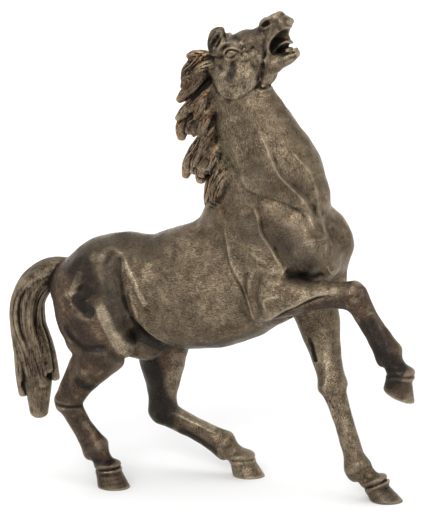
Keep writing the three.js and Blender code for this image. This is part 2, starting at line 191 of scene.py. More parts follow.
LIMBS = [
    {
        "bones": (FOREARM, CANNON, PASTERN),
        "joints": ((37, -21, 108.5), (79.4, -22, 111.8), (97, -22, 85), (103, -22, 74.5)),
        "sole": (102.2, -22, 64.4),
        "toe": (0.92, 0, -0.4),
        "lean": -0.36,
    },
    {
        "bones": (FOREARM, SLIM_CANNON, PASTERN),
        "joints": ((46, 18, 96), (58.7, 10, 57), (73.8, 4.5, 17.4), (83.4, 4, 9.6)),
        "sole": (89, 4, 1.7),
        "toe": (1, 0, 0),
        "lean": -0.42,
    },
    {
        "bones": (GASKIN, CANNON, PASTERN),
        "joints": ((-54, -19.5, 72), (-71.4, -22, 43.2), (-57.4, -21.5, 22), (-50.6, -21, 11)),
        "sole": (-47.8, -21, 1.7),
        "toe": (1, 0, 0),
        "lean": -0.14,
        "hock_point": (-75, -22, 44.6),
        "tendon": ((-67.5, -21, 66), (-74, -22, 49)),
    },
    {
        "bones": (FAR_GASKIN, CANNON, PASTERN),
        "joints": ((-36.5, 19, 68), (-36.5, 20, 31.5), (-3, 20.5, 16.9), (6.6, 21, 10)),
        "sole": (10, 21, 1.7),
        "toe": (1, 0, 0),
        "lean": -0.05,
        "hock_point": (-40, 20, 30.5),
    },
]
HOOF_SOLE = (8.8, 7.8)
HOOF_TOP = (6.9, 6.6)
HOOF_REACH = 16
HEEL_SHORTER = 0.9
WALL_STEEPNESS = 0.96
# Half width and height of the band over a hoof, then how close and high its rings are
HOOF_BAND = (0.8, 0.3)
HOOF_RINGS = (3, 0.02)
CORONET = (7.5, 7.1, 3)
CORONET_RISE = 1.9
ERGOT = (4.4, 3.3, 2.8)
ERGOT_PLACE = (5, 1.2)
ERGOT_SLANT = 0.35
HOCK_POINT = (5.2, 3.6, 4)
TENDON = 3.2

# Locks of hair: where the root is, length, heading at root and tip in degrees, bow, half width, lean in Y
CREST_TOP = (-3.5, 221)
CREST_BEND = (-2.5, 192)
CREST_FOOT = (5.5, 165)
MANE_BED = [
    (-6, 0, 218, 4, 4.5),
    (-8, 0, 206, 6.5, 5.5),
    (-7, 0, 194, 6, 5.5),
    (-3, -1, 184, 4.5, 5),
    (-1, -2, 174, 5.5, 5.5),
    (3, -2, 165, 4, 5),
]
NEAR_MANE = [
    (0, 12.6, 166, 190, 0, 3.2, -0.1),
    (0.03, 18, 174, 242, 10, 4.8, -0.12),
    (0.1, 16, 190, 238, 0, 4.2, -0.25),
    (0.14, 22.5, 215, 222, 0, 4.2, -0.02),
    (0.22, 24.5, 232, 222, 0, 3.8, -0.14),
    (0.3, 29, 254, 276, -45, 5.4, -0.06),
    (0.36, 20, 262, 246, -30, 4.6, -0.16),
    (0.42, 16, 264, 238, -25, 4.2, -0.22),
    (0.58, 32, 239, 256, -14, 4.8, 0),
    (0.62, 25, 250, 246, -10, 4.6, -0.08),
    (0.66, 25, 272, 262, -24, 5.6, -0.14),
    (0.7, 20, 292, 258, -40, 4.8, -0.24),
    (0.88, 29, 236, 270, 0, 4.4, 0),
    (0.94, 24, 256, 266, -14, 4.8, -0.12),
    (1, 18, 276, 270, -30, 4.2, -0.26),
]
# Slight locks over those: place, length, headings, bow, half width, start ahead of the crest, end in Y
OVER_MANE = [
    (0.02, 12, 200, 232, 0, 2.6, 4, -8),
    (0.12, 17, 222, 214, 12, 2.4, 1, -8.5),
    (0.2, 19, 246, 226, -8, 2.8, 4.5, -8),
    (0.28, 15, 262, 232, 0, 2.4, 1, -8.5),
    (0.34, 22, 262, 258, -30, 2.6, 5, -7),
    (0.44, 14, 276, 250, -20, 2.4, 1.5, -8),
    (0.52, 17, 250, 236, 0, 2.8, 4, -7.5),
    (0.6, 22, 262, 240, -12, 2.6, 2, -7),
    (0.68, 19, 270, 262, -36, 2.6, 5, -8),
    (0.76, 14, 262, 240, 0, 2.8, 2, -8.5),
    (0.84, 18, 240, 256, 0, 2.8, 6, -8),
    (0.9, 23, 205, 262, 10, 3.2, 8, -7.5),
    (0.96, 24, 196, 266, 16, 3.2, 9.5, -8),
    (1, 17, 232, 262, 0, 2.8, 5, -9),
]
FAR_MANE = {"count": 5, "long": 21, "heading": 262, "end": 275, "half": 4.6, "lean": 0.5, "wave": 16,
            "start": (4, 4.5, 0), "strands": (10, 0.9, 2)}
LOCK_PROFILE = ((0, 0.25, 0.55, 0.82, 1), (0.7, 1, 0.98, 0.8, 0.42))
WISP_PROFILE = ((0, 0.3, 0.6, 0.85, 1), (0.15, 0.85, 1, 0.7, 0.15))
LOCK_FLATNESS = 0.72

# Strands of locks: fewest, how many more on the next kind, how many kinds, depth, and turn on their way
MANE_STRANDS = (11, 2, 3, 0.9, 2.5)
OVER_MANE_STRANDS = (7, 1, 3, 0.7, 2.5)
TAIL_STRANDS = (3, 1, 2, 0.6, 1.2)
OVER_TAIL_STRANDS = (4, 1, 2, 0.4, 1.2)

# The tail's middle line and spread, and its locks: across at root and tip (-1 outer, 1 inner), aside, end,
# half width
TAIL_LINE = [
    (-77, 109.5), (-88, 107), (-97.5, 99.5), (-102.6, 89.5), (-103.3, 77), (-100.2, 64), (-97.9, 48),
    (-97.4, 29),
]
TAIL_SPREAD = (3, 5, 7, 7.2, 7.2, 8, 10, 9)
TAIL_THICKNESS = 0.9
TAIL = [
    (0.05, 0, 0, 0.985, 8),
    (-0.6, -0.9, -0.05, 0.92, 3.8),
    (-0.45, 0, -0.55, 0.9, 4.2),
    (-0.1, 0.4, -0.72, 0.87, 4),
    (0.35, 0.85, -0.5, 0.81, 4.2),
    (0.6, 1, 0.1, 0.85, 3.8),
    (-0.4, -0.3, 0.55, 0.9, 4.6),
    (0.25, 0.15, 0.65, 0.93, 4.8),
]

# Slight locks over those: where they start and end along the tail, half width, and across at even steps
OVER_TAIL = [
    (0.08, 0.86, 3.4, (-0.3, -0.48, -0.56, -0.45, -0.05, 0.3)),
    (0.16, 0.8, 2.8, (0.05, 0.1, 0.2, 0.36, 0.6)),
    (0.12, 0.55, 2.2, (0.3, 0.35, 0.4, 0.5)),
    (0.2, 0.83, 2.8, (0.45, 0.52, 0.6, 0.7, 0.75)),
    (0.58, 0.88, 2.8, (-0.75, -0.7, -0.65, -0.85)),
    (0.5, 0.88, 3, (-0.6, -0.42, -0.25, -0.15)),
    (0.02, 0.42, 2.4, (0.1, -0.2, -0.42)),
]

# Chased lines: kind, half width, height, which sides have them, and points (x, z) seen from the right. An
# edge is raised on the left of its direction of travel and sunk on the right.
LINES = [
    # Point of the hip, the slit of the flank, and the band of muscle before the thigh
    ("ridge", 1.5, 0.9, "near", (-58, 119), (-54, 123), (-49, 123.5), (-43, 120), (-39, 114), (-35, 109),
     (-32, 102), (-30, 96)),
    ("ridge", 2.4, -1.7, "near", (-45.5, 122), (-45.5, 115), (-43.5, 108), (-42, 101), (-39.5, 94),
     (-36, 87), (-31, 79), (-25, 74)),
    ("ridge", 4.2, 1.2, "near", (-55, 117), (-52, 108), (-49, 98), (-45, 88), (-42, 80)),
    ("ridge", 3, 0.35, "near", (-62, 118), (-58, 114), (-56, 105), (-53, 97), (-51, 92), (-46, 85),
     (-41, 78)),
    ("edge", 4, 0.8, "near", (-38, 92), (-33, 86), (-28, 81), (-22, 76), (-13, 72)),
    ("ridge", 1.2, 0.5, "near", (-38, 108), (-36.5, 99), (-34, 91)),
    # Buttock and thigh
    ("edge", 5, -0.35, "near", (-73, 112), (-73, 103), (-69, 97), (-64, 93), (-57, 91)),
    ("ridge", 4.6, -1.1, "near", (-66, 105), (-61, 98)),
    ("ridge", 1.6, 0.6, "near", (-70, 96), (-66, 91.5), (-61, 89), (-55, 89.5)),
    ("ridge", 1.8, -0.8, "near", (-71, 82), (-66, 78), (-60, 75), (-50, 75)),
    # Neck, from the breast up, and its border with the shoulder
    ("edge", 5, 0.45, "both", (17, 166), (21, 160.5), (29, 158), (38, 156), (44, 154), (50, 150.5),
     (55, 145), (59, 139)),
    ("edge", 5, -0.45, "both", (26, 189), (31, 182), (34, 176), (39, 168), (45, 162), (51, 156),
     (55, 149), (58, 140)),
    ("ridge", 1.1, 0.35, "both", (29, 185), (31, 182), (34, 176), (39, 168), (45, 162), (51, 156),
     (55, 149), (58, 139)),
    ("ridge", 4.6, -0.7, "both", (34, 184), (39, 176), (45, 169), (50.5, 162), (54, 156)),
    ("ridge", 0.8, 0.4, "both", (40, 182), (46, 176), (52, 169), (55, 161), (56.5, 152), (57.5, 142)),
    ("ridge", 0.8, 0.25, "near", (22, 164), (30, 165), (38, 165)),
    ("ridge", 5, -0.8, "both", (12, 192), (18, 182), (22, 172)),
    # Shoulder, arm and breast
    ("ridge", 0.9, 0.4, "both", (21, 153), (25, 152), (29, 147), (31, 139), (36, 133), (39, 128),
     (43, 122), (45, 119.5)),
    ("edge", 6, -0.45, "near", (25, 152), (29, 147), (31, 139), (36, 133), (39, 128), (43, 122)),
    ("ridge", 1, 0.5, "near", (11, 143), (12, 135), (15, 124), (21, 114), (26, 105), (28, 97), (29, 89)),
    ("edge", 4, 0.4, "near", (11, 143), (12, 135), (15, 124), (21, 114), (26, 105), (28, 97)),
    ("ridge", 1.2, 0.5, "near", (26, 130), (31, 126), (35, 124)),
    ("ridge", 2.8, -1.7, "near", (44, 121.5), (49, 119), (55, 118), (62, 119.5)),
    ("ridge", 4, -0.8, "near", (60, 137), (61, 128), (60, 120)),
    ("edge", 3.5, 0.9, "near", (34, 95), (40, 99), (46, 103), (52, 106), (58, 109.5), (64, 112),
     (72, 113.5)),
    ("ridge", 3, -1.4, "near", (40, 93.5), (50, 98), (60, 103), (70, 107), (77, 108)),
    ("ridge", 1.2, 0.6, "near", (27, 120), (25.5, 114), (27, 108)),
    ("ridge", 0.9, 0.5, "near", (37, 102), (35.5, 106), (38, 109), (44, 110)),
    # Tendons and joints of the legs
    ("ridge", 1.6, -0.7, "near", (88, 104), (94, 93), (96, 88)),
    ("ridge", 1.6, -0.6, "near", (-67, 38), (-63, 31), (-60, 26)),
    ("ridge", 0.7, -0.45, "near", (-77, 43.6), (-71, 43), (-64, 43)),
    ("ridge", 1.6, -0.6, "far", (-29, 28.5), (-18, 23.5), (-8, 19.5)),
    ("ridge", 1.2, 0.6, "far", (-29, 33), (-17, 28), (-4, 23)),
    ("ridge", 1.1, -0.9, "far", (47.5, 79), (49, 74), (51, 69)),
    ("ridge", 1.4, 0.7, "far", (56, 70), (57, 62), (56, 52)),
    ("ridge", 1, -0.7, "far", (58, 51), (62, 45)),
    ("ridge", 1.4, -0.6, "far", (62, 44), (67, 32), (71, 23)),
    # Lids and brow
    ("ridge", 0.45, -0.5, "both", (8.2, 223.9), (9.2, 226), (11.2, 226.9), (13.2, 226.6), (14.8, 226)),
    ("ridge", 0.6, 0.4, "both", (7.2, 223.8), (8.4, 226.8), (11.2, 228.1), (13.8, 227.8), (15.8, 226.8)),
    ("ridge", 0.45, -0.35, "both", (8.2, 223.8), (10, 222.9), (12.2, 223.5), (14.6, 225.8)),
    ("ridge", 0.6, 0.25, "both", (7.2, 223.2), (9.8, 221.7), (12.8, 222.3), (15.6, 225)),
    ("ridge", 1.1, 0.8, "both", (4.8, 224.4), (6, 228), (9.6, 230.4), (13.4, 230.4), (15.6, 228.9)),
    ("ridge", 0.8, 0.7, "both", (15, 231.2), (17, 229.6)),
    ("ridge", 0.7, -0.6, "both", (15.8, 226.8), (17.2, 228.4), (18.4, 227.4)),
    ("ridge", 0.8, 0.5, "both", (16.6, 225.4), (18.4, 224.4)),
    # Strokes across the ear and the lower lip
    ("ridge", 0.7, -0.6, "near", (-0.2, 229.6), (1.6, 233), (4.2, 236)),
    ("ridge", 0.7, -0.6, "near", (1.2, 227), (3.2, 231), (6.4, 235.6)),
    ("ridge", 0.6, -0.5, "near", (3.4, 227), (5.6, 231), (8, 234)),
    ("ridge", 0.6, -0.5, "near", (35.4, 224.6), (38.4, 225.6), (42, 226.2)),
    ("ridge", 0.7, -0.4, "near", (36.6, 221.8), (39.4, 223), (42.4, 224.8)),
    # Cheek's rim, cheekbone, the line a bit leaves, the mouth's corner, the nostril's rim and the throat
    ("edge", 4, 0.5, "both", (1, 213), (2.6, 208.6), (5.6, 204.8), (10, 202.8), (15, 203.4), (20, 206.6),
     (24.4, 211), (25.6, 217)),
    ("ridge", 1, 0.5, "both", (15, 221.6), (19.6, 223.4), (24, 226)),
    ("ridge", 1.2, -0.6, "both", (15.6, 224.4), (19.4, 226.4), (22.6, 229)),
    ("ridge", 0.5, -0.35, "both", (27.6, 227.6), (27, 223), (26.2, 217)),
    ("ridge", 0.9, 0.25, "both", (29, 227.6), (28.6, 224), (27.6, 219)),
    ("edge", 1.6, 0.5, "both", (30.6, 224.6), (29.4, 227.4), (30, 230.6), (31.8, 233.6)),
    ("ridge", 0.8, -0.4, "both", (26.6, 236.8), (27.6, 233.4), (27.6, 230)),
    ("ridge", 0.9, 0.4, "both", (30.8, 240.4), (30.2, 236.6), (29.4, 233)),
    ("ridge", 0.7, 0.6, "both", (25, 239.2), (27.2, 242.3), (30.4, 243.4)),
    ("ridge", 0.7, 0.5, "both", (26.2, 237.2), (29.4, 238.6), (31.6, 241)),
    ("ridge", 0.7, 0.5, "both", (23.6, 207.6), (26.4, 207), (29.4, 208)),
]

# Stains, and some painted shade and painted highlights, by colour and side, as lines like those above: half
# width, strength, points
STAINS_AND_PAINTED_LIGHT = {
    ("brown", "near"): [
        (14, 1, (-70, 104), (-67, 88), (-60, 76)),
        (13, 1, (-58, 70), (-62, 58), (-68, 44), (-62, 30), (-54, 14), (-46, 5)),
        (5.5, 1, (38, 91), (45, 94.5), (58, 101), (74, 107)),
        (9, 1, (83, 110), (91, 97), (98, 82), (104, 70)),
    ],
    ("brown", "both"): [
        (12, 0.55, (-10, 212), (-9, 195), (-8, 178)),
    ],
    ("brown", "far"): [
        (16, 0.9, (-58, 102), (-48, 86), (-40, 66)),
        (9, 0.9, (84, 10), (92, 3)),
    ],
    ("dark", "near"): [
        (3.2, 1, (-66, 98.5), (-62, 95.5), (-58, 93)),
        (2, 0.9, (-72, 83), (-66, 78), (-58, 75), (-50, 75.5)),
        (2.6, 0.8, (-64, 57), (-57, 53)),
        (0.9, 0.8, (-77, 44), (-63, 43)),
        # Painted shade down the slit of the flank, and on the next line in the hollow at its foot
        (1.5, 0.5, (-45.5, 118), (-43.5, 108), (-41, 98), (-38, 90), (-33, 81)),
        (4.4, 0.9, (-36, 82), (-30, 77), (-24, 72)),
        (8, 0.65, (-71, 116), (-64, 112), (-58, 104)),
        (7, 0.55, (-64, 84), (-56, 74), (-48, 70)),
        (4, 0.5, (-74, 62), (-70, 48), (-62, 30), (-54, 16)),
        # Painted shade along the underside of the raised forearm
        (5, 0.5, (46, 97), (60, 103), (74, 108)),
        (7, 0.75, (88, 96), (96, 84), (100, 74)),
        (6, 0.35, (99, 72), (103, 66)),
        (8, 0.4, (-52, 12), (-46, 3)),
        (5, 0.63, (-50, 118), (-47, 100), (-42, 88)),
        (9, 0.5, (-66, 118), (-50, 125), (-30, 128)),
        (9, 0.55, (46, 136), (52, 124)),
        (9, 0.5, (25, 141), (40, 138)),
        (9, 0.45, (28, 170), (44, 161)),
        (5, 0.45, (14, 232), (24, 236)),
        # Painted shade along the underside of the belly
        (6, 0.6, (-30, 72), (0, 74), (25, 82)),
        (5, 0.5, (2, 228), (5, 235)),
        (6, 0.45, (18, 230), (27, 233)),
        (3, 0.45, (30, 240), (36, 241)),
        (6, 0.42, (-57, 117), (-53, 104)),
        (5, 0.4, (28, 226), (33, 232), (33, 240)),
        (3.4, 0.9, (94, 83), (98, 78), (104, 78)),
        (1.4, 0.9, (-57, 16), (-48, 15)),
        (1.2, 0.7, (-57, 9.4), (-48, 9.6)),
        (2.6, 0.7, (12.6, 218.4), (11, 213)),
        (0.5, 0.9, (8.4, 224.8), (10, 226.6), (12.6, 226.9), (14.8, 226)),
        (2.6, 0.8, (0.4, 226.5), (1.6, 230.5)),
        (1.4, 0.8, (8.6, 234), (9.6, 236)),
        (1, 0.7, (27.2, 232), (26.6, 224), (25.4, 216)),
        # Painted shade in the lower part of the open mouth
        (2.2, 0.9, (31.6, 226.6), (35, 228)),
        (3, 0.6, (25, 236), (28, 240)),
    ],
    ("dark", "far"): [
        (11, 1, (-48, 68), (-44, 55), (-42, 40), (-38, 32)),
        (7, 0.4, (84, 9), (92, 3)),
        (3.6, 0.8, (-24, 22), (-8, 14)),
        (1.4, 0.9, (47, 80), (50, 70)),
    ],
    ("dark", "both"): [
        (9, 0.45, (-14, 215), (-12, 206)),
        (7, 0.5, (84, 8), (94, 3)),
    ],
    ("green", "far"): [
        (4, 0.8, (76, 17), (84, 10)),
    ],
    ("green", "near"): [
        (8, 0.5, (6, 186), (10, 172)),
        (6, 0.4, (44, 184), (52, 168)),
    ],
    ("pale", "near"): [
        (3, 1, (-52, 94), (-48, 87.5), (-44.5, 80.5), (-41.5, 75)),
        (2.2, 0.9, (-66, 110), (-67.5, 105), (-69, 101)),
        (2.2, 0.8, (-60, 119), (-54, 119)),
        # Painted highlight along the upper side of the raised forearm
        (2.4, 0.45, (34, 98), (46, 104.5), (58, 111), (72, 115)),
        (1.6, 0.7, (-46, 121), (-37, 111), (-30, 99)),
        (6, 0.5, (52, 130), (57, 133)),
        (10, 0.35, (12, 190), (20, 170)),
        (8, 0.5, (8, 212), (18, 212)),
        # Painted highlight on the tail's upper bend
        (1.6, 0.5, (-101, 97), (-96, 103), (-89, 106), (-83, 106)),
        # Painted light on the upper part of the open mouth, which lies in shade
        (2.6, 0.4, (33, 236), (36.6, 233)),
    ],
    ("pale", "far"): [
        (4.2, 0.45, (-27, 64), (-25.5, 57), (-31, 46), (-32, 38)),
        (2.6, 0.8, (-28, 34), (-8, 27)),
        (2.4, 0.5, (56, 84), (57, 62), (60, 48), (70, 26)),
    ],
}
STAIN_AND_LIGHT_SHARPNESS = 6
RIBS = {"count": 6, "first": (-2, 108), "step": (3.7, 1.6), "run": (5, 15), "width": 1.3, "height": 0.22}
RIB_ENDS = 0.4

# Where the hair ends: how far the mane reaches ahead of its root line, its foot, and the dock of the tail
MANE_AHEAD = 5
MANE_FOOT = 145
DOCK = {"height": 104, "over": -79, "under": -84}
HAIR_BORDER = 3

# The material's sizes in metres: its noises, where the barrel's strokes end, and where the mane begins
BROAD, BLOT, MOTTLE, SPECK, STROKE, THREAD, RUST = 0.014, 0.0045, 0.0018, 0.0005, 0.0004, 0.0006, 0.007
BARREL_MIDDLE = 0.108
BARREL_EDGE = (0.024, 0.05)
MANE_HEIGHTS = (0.11, 0.14)
BUMP = 0.0005

# Tones of the metal, where two on dull and bright patches, and of the hair, where two without and with rust
LOW_TONES = ((0.04, 0.028, 0.018), (0.062, 0.046, 0.033))
HIGH_TONES = ((0.15, 0.108, 0.068), (0.258, 0.197, 0.127))
RUBBED = (0.36, 0.29, 0.2)
BLACK = (0.009, 0.007, 0.005)
GRAZING_TINT = (0.9, 0.86, 0.8, 1)
HAIR_HOLLOWS = ((0.024, 0.016, 0.011), (0.036, 0.017, 0.008))
TAIL_TONE = (0.25, 0.19, 0.125)
MANE_TONE = (0.4, 0.31, 0.2)
RUST_TONE = (0.38, 0.2, 0.09)

# Stains, painted shade and painted highlights: how much they cover, and their tones in the hollows and on
# the heights of the chasing
STAIN_AND_LIGHT_PAINTS = {
    "brown": (0.75, (0.024, 0.013, 0.009), (0.09, 0.053, 0.036)),
    "dark": (0.94, (0.007, 0.006, 0.006), (0.024, 0.02, 0.018)),
    "green": (0.45, (0.11, 0.1, 0.045), (0.11, 0.1, 0.045)),
    "pale": (0.6, (0.15, 0.113, 0.074), (0.49, 0.405, 0.285)),
}

# The photograph's view: its turn round the horse, height, distance and middle, and the millimetres it spans
VIEW_AZIMUTH = 20
VIEW_ELEVATION = 13
VIEW_DISTANCE = 1500
VIEW_MIDDLE = (0, 0, 116.8)
VIEW_HEIGHT = 264
SENSOR = 36

# The studio, in metres: a round floor whose edge curves up, the room's light, and lights from far off, as
# azimuth, elevation, strength, and how many degrees they spread over
FLOOR_FLAT = 3
FLOOR_CURVE = 1.5
FLOOR_TOP = 2
FLOOR_BENDS = 12
FLOOR_SIDES = 96
ROOM_LIGHT = 0.5
LIGHTS = {"key": (5, 27, 2.3, 36), "top": (0, 84, 1.75, 110)}


def unit(vector):
    return np.asarray(vector, float) / np.linalg.norm(vector)


def smooth(rows, pieces):
    """Rows in between the given ones, on a Catmull-Rom curve through all their numbers."""
    rows = np.asarray(rows, float)
    padded = np.vstack([2 * rows[0] - rows[1], rows, 2 * rows[-1] - rows[-2]])
    t = (np.arange(pieces) / pieces)[:, None]
    parts = [
        b + 0.5 * t * (c - a + t * (2 * a - 5 * b + 4 * c - d + t * (3 * (b - c) + d - a)))
        for a, b, c, d in zip(padded, padded[1:], padded[2:], padded[3:])
    ]
    return np.vstack([*parts, rows[-1:]])


class Clay:
    """Signed distances in millimetres on a grid, which forms are added to and cut from."""

    def __init__(self, step, axes=None):
        self.step = step
        self.axes = axes or [
            np.arange(low, high + step, step, dtype=np.float32)
            for low, high in zip(DRAWING_LOW, DRAWING_HIGH)
        ]
        self.field = np.full([len(axis) for axis in self.axes], FAR_AWAY, np.float32)

    def window(self, low, high):
        """The part of the grid between two corners, and its coordinates."""
        cut = tuple(
            slice(*np.searchsorted(axis, (a, b))) for axis, a, b in zip(self.axes, low, high)
        )
        return cut, np.ix_(*(axis[part] for axis, part in zip(self.axes, cut)))

    def add(self, cut, distance, blend, carve=False):
        """Adds a form, or carves it out, with a soft seam as wide as blend."""
        old = self.field[cut]
        new = -distance if carve else distance
        seam = np.maximum(blend - np.abs(old - new), 0) ** 2 / (4 * blend)
        self.field[cut] = np.maximum(old, new) + seam if carve else np.minimum(old, new) - seam

    def soften(self, passes):
        """Rounds the clay off evenly, so that forms run into each other without swelling."""
        for _ in range(passes):
            for d in range(3):
                moved = np.moveaxis(self.field, d, 0)
                moved[1:-1] = 0.5 * moved[1:-1] + 0.25 * (moved[:-2] + moved[2:])

    def finer(self, step):
        """The same clay on a finer grid, through cubic B-splines, which leave it smooth."""
        fine = Clay(step)
        field = self.field
        for d, (axis, old) in enumerate(zip(fine.axes, self.axes)):
            place = (axis - old[0]) / self.step
            first = np.clip(place.astype(int), 1, len(old) - 3)
            t = place - first
            shape = [1, 1, 1]
            shape[d] = -1
            weights = ((1 - t) ** 3, 3 * t**3 - 6 * t**2 + 4, 1 + 3 * t * (1 + t - t**2), t**3)
            field = sum(
                np.take(field, first + k - 1, d) * (weight / 6).reshape(shape)
                for k, weight in enumerate(weights)
            )
        fine.field = field
        return fine

    def coarser(self):
        """Every other place of the grid."""
        coarse = Clay(2 * self.step, [axis[::2] for axis in self.axes])
        coarse.field = self.field[::2, ::2, ::2].copy()
        return coarse

    def sample(self, points):
        """The field at any points, straight between the grid's own."""
        place = [(points[:, d] - self.axes[d][0]) / self.step for d in range(3)]
        first = [np.clip(p.astype(int), 0, len(a) - 2) for p, a in zip(place, self.axes)]
        part = [p - f for p, f in zip(place, first)]
        total = 0
        for corner in np.ndindex(2, 2, 2):
            weight = 1
            for k, p in zip(corner, part):
                weight = weight * (p if k else 1 - p)
            total = total + weight * self.field[tuple(f + k for f, k in zip(first, corner))]
        return total


def axes_of(along):
    """Unit axes along a form, across it, and square to both."""
    forward = unit(along)
    side = unit(ACROSS - forward[1] * forward)
    return forward, side, np.cross(forward, side)


def turned(grid, origin, axes):
    """The grid's coordinates along other axes, from an origin."""
    q = [g - c for g, c in zip(grid, origin)]
    return [q[0] * axis[0] + q[1] * axis[1] + q[2] * axis[2] for axis in axes]


def ellipsoid(grid, middle, axes, halves):
    """About the distance to an ellipsoid."""
    near = 0
    steep = 0
    for place, half in zip(turned(grid, middle, axes), halves):
        part = place / half
        near = near + part**2
        steep = steep + (part / half) ** 2
    near = np.sqrt(near)
    return near * (near - 1) / np.maximum(np.sqrt(steep), 1e-6)


def bulge(clay, middle, halves, along, blend, carve=False):
    reach = max(halves) + blend + 3 * clay.step
    cut, grid = clay.window(np.subtract(middle, reach), np.add(middle, reach))
    clay.add(cut, ellipsoid(grid, middle, axes_of(along), halves), blend, carve)


def parting(angle, at, wide, strands):
    """How deep the partings of strands are at an angle round a lock. They waver, and end at its tip."""
    count, depth, turn = strands
    angle = angle + 0.4 * np.sin(2 * angle + 5 * at) + 0.15 * np.sin(5 * angle - 7 * at)
    rope = 1 - np.abs(np.sin(0.5 * count * angle + turn * at))
    deeper = (0.9 + 0.5 * np.sin(1.7 * angle + turn + 4 * at)) * (1 - at**5)
    return depth * deeper * rope**2 * np.minimum(1, 0.4 * wide)


def span(grid, a, b, caps, strands, at):
    """About the distance to a stretch of a rounded form, from ring a to ring b, at a share of its way."""
    length = np.linalg.norm(b[:3] - a[:3])
    along, across, above = turned(grid, a, axes_of(b[:3] - a[:3]))
    t = np.clip(along / length, 0, 1)
    over = along - t * length
    deep, wide, fuller = (a[k] + (b[k] - a[k]) * t for k in (3, 4, 5))
    wide = wide * (1 + fuller * np.clip(above / deep, -1.2, 1.2))
    cap = np.where(over < 0, caps[0], caps[1])
    near = np.sqrt((above / deep) ** 2 + (across / wide) ** 2 + (over / cap) ** 2)
    steep = np.sqrt((above / deep**2) ** 2 + (across / wide**2) ** 2 + (over / cap**2) ** 2)
    distance = near * (near - 1) / np.maximum(steep, 1e-6)
    if strands:
        distance = distance + parting(np.arctan2(across / wide, above / deep), at, wide, strands)
    return distance


def loft(clay, rings, blend, pieces=5, strands=None, carve=False):
    """A rounded form through rings, with domed ends, and with strands that run along it if asked."""
    rings = smooth([(*ring, 0)[:6] for ring in rings], pieces)
    reach = rings[:, 3:5].max(1) + blend + 3 * clay.step
    low = (rings[:, :3] - reach[:, None]).min(0)
    high = (rings[:, :3] + reach[:, None]).max(0)
    whole, _ = clay.window(low, high)
    form = Clay(clay.step, [axis[part] for axis, part in zip(clay.axes, whole)])
    last = len(rings) - 2
    for i, (a, b) in enumerate(zip(rings, rings[1:])):
        far = max(reach[i], reach[i + 1])
        cut, grid = form.window(np.minimum(a, b)[:3] - far, np.maximum(a, b)[:3] + far)
        inner = 0.35 * min(a[3], a[4], b[3], b[4])
        caps = (0.8 * min(a[3:5]) if i == 0 else inner, 0.8 * min(b[3:5]) if i == last else inner)
        distance = span(grid, a, b, caps, strands, i / (last + 1))
        form.field[cut] = np.minimum(form.field[cut], distance)
    clay.add(whole, form.field, blend, carve)


def line_distance(x, z, points):
    """For places (x, z): how far from a line, signed, and how far along it, from 0 to 1."""
    points = smooth(points, 4) if len(points) > 2 else np.asarray(points, float)
    steps = np.diff(points, axis=0)
    lengths = np.linalg.norm(steps, axis=1)
    starts = np.concatenate([[0], np.cumsum(lengths)])
    best = np.full(np.broadcast_shapes(x.shape, z.shape), 1e9)
    signed = np.zeros_like(best)
    along = np.zeros_like(best)
    for (px, pz), (dx, dz), length, start in zip(points, steps, lengths, starts):
        t = np.clip(((x - px) * dx + (z - pz) * dz) / length**2, 0, 1)
        away = np.hypot(x - px - t * dx, z - pz - t * dz)
        left = np.sign(dx * (z - pz) - dz * (x - px))
        closer = away < best
        best = np.where(closer, away, best)
        signed = np.where(closer, away * left, signed)
        along = np.where(closer, (start + t * length) / starts[-1], along)
    return signed, along


def side_share(y, side):
    """How much of a line shows at y: all of it on its own side, nothing on the other."""
    if side == "both":
        return np.ones_like(y)
    return np.clip(0.5 - y / 3, 0, 1) if side == "near" else np.clip(0.5 + y / 3, 0, 1)


def chase(clay, kind, width, height, side, *points, ends=0.2):
    """Raises or sinks the surface along a line, fading towards the line's ends."""
    corners = np.array(points, float)
    reach = 3 * width
    low = (corners[:, 0].min() - reach, DRAWING_LOW[1], corners[:, 1].min() - reach)
    high = (corners[:, 0].max() + reach, DRAWING_HIGH[1], corners[:, 1].max() + reach)
    cut, (x, y, z) = clay.window(low, high)
    signed, along = line_distance(x, z, points)
    share = signed / width
    shape = np.exp(-(share**2))
    if kind == "edge":
        shape = np.tanh(7 * share) * np.exp(-np.abs(share))
    fade = np.clip(np.minimum(along, 1 - along) / ends, 0, 1)
    amount = height * shape * np.sqrt(fade)
    clay.field[cut] -= (amount * side_share(y, side)).astype(np.float32)


def limb(clay, shape):
    """A limb down to its hoof: its bones, the ergot behind the fetlock, and the point of the hock."""
    joints = np.array(shape["joints"], float)
    for bone, start, end in zip(shape["bones"], joints, joints[1:]):
        loft(clay, [(*(start + t * (end - start)), deep, wide) for t, deep, wide in bone], 0.8)
    down = unit(joints[3] - joints[2])
    back = unit(np.cross(ACROSS, down))
    behind, below = ERGOT_PLACE
    bulge(clay, joints[2] + behind * back + below * down, ERGOT, down + ERGOT_SLANT * back, 0.8)
    up = np.cross(unit(shape["toe"]), ACROSS)
    forward = unit(np.array(shape["toe"]) - shape["lean"] * up)
    bulge(clay, joints[3] + CORONET_RISE * np.cross(forward, ACROSS), CORONET, forward, 0.8)
    if "tendon" in shape:
        loft(clay, [(*place, TENDON, TENDON) for place in shape["tendon"]], 1.5)
    if "hock_point" in shape:
        bulge(clay, shape["hock_point"], HOCK_POINT, (-1, 0, 8), 0.8)


